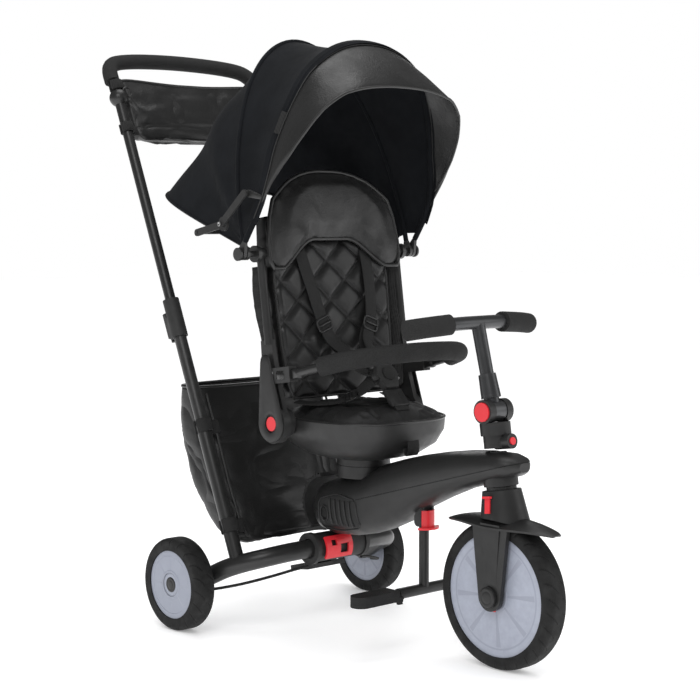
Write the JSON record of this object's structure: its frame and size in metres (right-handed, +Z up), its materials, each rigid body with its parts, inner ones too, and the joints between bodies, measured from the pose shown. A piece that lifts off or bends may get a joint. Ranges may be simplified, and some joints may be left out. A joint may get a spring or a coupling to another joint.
{
  "type": "folding push tricycle",
  "caption": "Child's push tricycle: folding canopy, swivelling padded seat with harness and safety bar, steered front wheel, footrest, rear basket bag and sliding push handle",
  "frame": {"origin": "centre of the bounding box at floor level", "axes": "+Z up, forward (front wheel) is -Y, X runs across the tricycle with the near side at -X"},
  "size_m": [0.49, 0.9923, 1.0193],
  "materials": {
    "black_plastic": "satin moulded plastic",
    "tyre": "matte foam tyre",
    "foam": "matte foam grip",
    "disc": "pale blue-grey silver plastic",
    "dark_metal": "dark satin powder coat",
    "black_metal": "black powder coat",
    "steel": "plain steel",
    "red_plastic": "red control plastic",
    "coated_fabric": "soft coated fabric, quilted",
    "woven_fabric": "dark woven polyester",
    "webbing": "woven webbing"
  },
  "bodies": {
    "frame": {"body_upper": "black_plastic", "body_lower": "black_plastic", "rear_frame": "black_metal", "axle_clamp": "black_plastic", "rear_grip": "black_plastic", "turntable_base": "black_plastic", "push_tubes_mid": "black_metal", "tube_collars": "black_plastic", "storage_bag": "coated_fabric", "brake_cables": "foam"},
    "collar_button_near": {"collar_button_near": "black_plastic"},
    "collar_button_far": {"collar_button_far": "black_plastic"},
    "fold_latch": {"fold_latch": "red_plastic"},
    "brake_pedal": {"brake_pedal": "black_plastic"},
    "rear_wheel_near": {"near_tyre": "tyre", "near_disc": "disc"},
    "rear_wheel_far": {"far_tyre": "tyre", "far_disc": "disc"},
    "steering": {"steering_column": "black_plastic", "fork": "black_plastic", "front_axle": "steel"},
    "front_wheel": {"front_tyre": "tyre", "front_disc": "disc"},
    "clutch_tab": {"clutch_tab": "red_plastic"},
    "wheel_release": {"wheel_release": "red_plastic"},
    "column_button": {"column_button": "red_plastic"},
    "stem_button": {"stem_button": "red_plastic"},
    "handlebar": {"stem_hinge": "dark_metal", "handlebar_tube": "dark_metal", "handlebar_grips": "foam"},
    "seat": {"turntable_top": "black_plastic", "seat_shell": "black_plastic", "seat_cushion": "coated_fabric", "crotch_strap": "webbing", "buckle": "black_plastic"},
    "buckle_button": {"buckle_button": "black_plastic"},
    "backrest": {"back_arms": "black_plastic", "backrest_pad": "coated_fabric", "backrest_wings": "coated_fabric", "headrest": "coated_fabric", "shoulder_straps": "webbing", "rear_bow": "black_metal", "canopy_rear_panel": "woven_fabric"},
    "recline_button_near": {"recline_button_near": "red_plastic"},
    "recline_button_far": {"recline_button_far": "red_plastic"},
    "bar": {"safety_bar": "black_metal", "bar_foam": "foam"},
    "middle_hoop": {"mid_bow": "black_metal", "canopy_front_panel": "woven_fabric"},
    "front_hoop": {"front_bow": "black_metal", "canopy_visor": "coated_fabric"},
    "stay_low_link": {"stay_lower": "black_plastic"},
    "stay_high_link": {"stay_upper": "black_plastic"},
    "push_handle": {"upper_tubes": "black_metal", "handle_foam": "foam", "parent_bag": "coated_fabric"},
    "footrest": {"footrest_frame": "black_plastic", "footpad_near": "foam", "footpad_far": "foam"},
    "footrest_release": {"footrest_release": "red_plastic"}
  },
  "joints": [
    {"name": "steer", "type": "hinge", "parent": "frame", "child": "steering", "pos_m": [0, -0.39875, 0.1185], "axis": [0, 0.1478, 0.989], "range_deg": [-35, 35]},
    {"name": "front_wheel_spin", "type": "hinge", "parent": "steering", "child": "front_wheel", "pos_m": [0, -0.37775, 0.1185], "axis": [1, 0, 0], "continuous": true},
    {"name": "rear_wheel_near_spin", "type": "hinge", "parent": "frame", "child": "rear_wheel_near", "pos_m": [-0.2257, 0.17025, 0.08], "axis": [1, 0, 0], "continuous": true},
    {"name": "rear_wheel_far_spin", "type": "hinge", "parent": "frame", "child": "rear_wheel_far", "pos_m": [0.2257, 0.17025, 0.08], "axis": [1, 0, 0], "continuous": true},
    {"name": "handlebar_fold", "type": "hinge", "parent": "steering", "child": "handlebar", "pos_m": [0, -0.35559, 0.40729], "axis": [1, 0, 0], "range_deg": [0, 90]},
    {"name": "column_button_press", "type": "slide", "parent": "steering", "child": "column_button", "axis": [0, 0.989, -0.1478], "range_m": [0, 0.002], "stiffness_N_per_m": 300},
    {"name": "stem_button_press", "type": "slide", "parent": "handlebar", "child": "stem_button", "axis": [1, 0, 0], "range_m": [0, 0.003], "stiffness_N_per_m": 300},
    {"name": "clutch_tab_slide", "type": "slide", "parent": "steering", "child": "clutch_tab", "axis": [-0.1644, -0.1458, -0.9756], "range_m": [0, 0.005]},
    {"name": "wheel_release_press", "type": "slide", "parent": "steering", "child": "wheel_release", "axis": [0, 0, -1], "range_m": [0, 0.003], "stiffness_N_per_m": 300},
    {"name": "seat_swivel", "type": "hinge", "parent": "frame", "child": "seat", "pos_m": [0, -0.05475, 0.29], "axis": [0, 0, 1], "range_deg": [0, 180]},
    {"name": "buckle_button_press", "type": "slide", "parent": "seat", "child": "buckle_button", "axis": [0, 0.8192, -0.5736], "range_m": [0, 0.002], "stiffness_N_per_m": 300},
    {"name": "backrest_recline", "type": "hinge", "parent": "seat", "child": "backrest", "pos_m": [0, -0.00475, 0.368], "axis": [-1, 0, 0], "range_deg": [0, 10]},
    {"name": "recline_button_near_press", "type": "slide", "parent": "backrest", "child": "recline_button_near", "axis": [1, 0, 0], "range_m": [0, 0.003], "stiffness_N_per_m": 300},
    {"name": "recline_button_far_press", "type": "slide", "parent": "backrest", "child": "recline_button_far", "axis": [-1, 0, 0], "range_m": [0, 0.003], "stiffness_N_per_m": 300},
    {"name": "safety_bar_slide", "type": "slide", "parent": "backrest", "child": "bar", "axis": [0, -0.9903, 0.1392], "range_m": [0, 0.036]},
    {"name": "canopy_fold", "type": "hinge", "parent": "backrest", "child": "middle_hoop", "pos_m": [0, 0.03025, 0.65], "axis": [-1, 0, 0], "range_deg": [0, 38], "deforming": ["canopy_rear_panel"]},
    {"name": "canopy_front_fold", "type": "hinge", "parent": "middle_hoop", "child": "front_hoop", "pos_m": [0, 0.03025, 0.65], "axis": [-1, 0, 0], "range_deg": [0, 22], "deforming": ["canopy_front_panel"]},
    {"name": "stay_low_turn", "type": "hinge", "parent": "backrest", "child": "stay_low_link", "pos_m": [0, 0.13325, 0.685], "axis": [1, 0, 0], "range_deg": [0, 43]},
    {"name": "stay_high_turn", "type": "hinge", "parent": "stay_low_link", "child": "stay_high_link", "pos_m": [0, 0.06125, 0.7], "axis": [-1, 0, 0], "range_deg": [0, 95]},
    {"name": "handle_height", "type": "slide", "parent": "frame", "child": "push_handle", "axis": [0, 0.3891, 0.9212], "range_m": [0, 0.08]},
    {"name": "collar_button_near_press", "type": "slide", "parent": "frame", "child": "collar_button_near", "axis": [0, 0.3891, 0.9212], "range_m": [0, 0.003], "stiffness_N_per_m": 300},
    {"name": "collar_button_far_press", "type": "slide", "parent": "frame", "child": "collar_button_far", "axis": [0, 0.3891, 0.9212], "range_m": [0, 0.003], "stiffness_N_per_m": 300},
    {"name": "footrest_fold", "type": "hinge", "parent": "frame", "child": "footrest", "pos_m": [0, -0.20175, 0.212], "axis": [1, 0, 0], "range_deg": [0, 50]},
    {"name": "footrest_release_press", "type": "slide", "parent": "frame", "child": "footrest_release", "axis": [0, -1, 0], "range_m": [0, 0.003], "stiffness_N_per_m": 300},
    {"name": "brake_pedal_press", "type": "hinge", "parent": "frame", "child": "brake_pedal", "pos_m": [0, 0.02025, 0.14], "axis": [-1, 0, 0], "range_deg": [0, 12]},
    {"name": "fold_latch_turn", "type": "hinge", "parent": "frame", "child": "fold_latch", "pos_m": [0, 0.02025, 0.14], "axis": [1, 0, 0], "range_deg": [0, 12]}
  ],
  "couplings": [
    {"joint": "canopy_front_fold", "follows": "canopy_fold", "ratio": 0.57895},
    {"joint": "stay_low_turn", "follows": "canopy_fold", "ratio": 1.1},
    {"joint": "stay_high_turn", "follows": "canopy_fold", "ratio": 2.4}
  ]
}
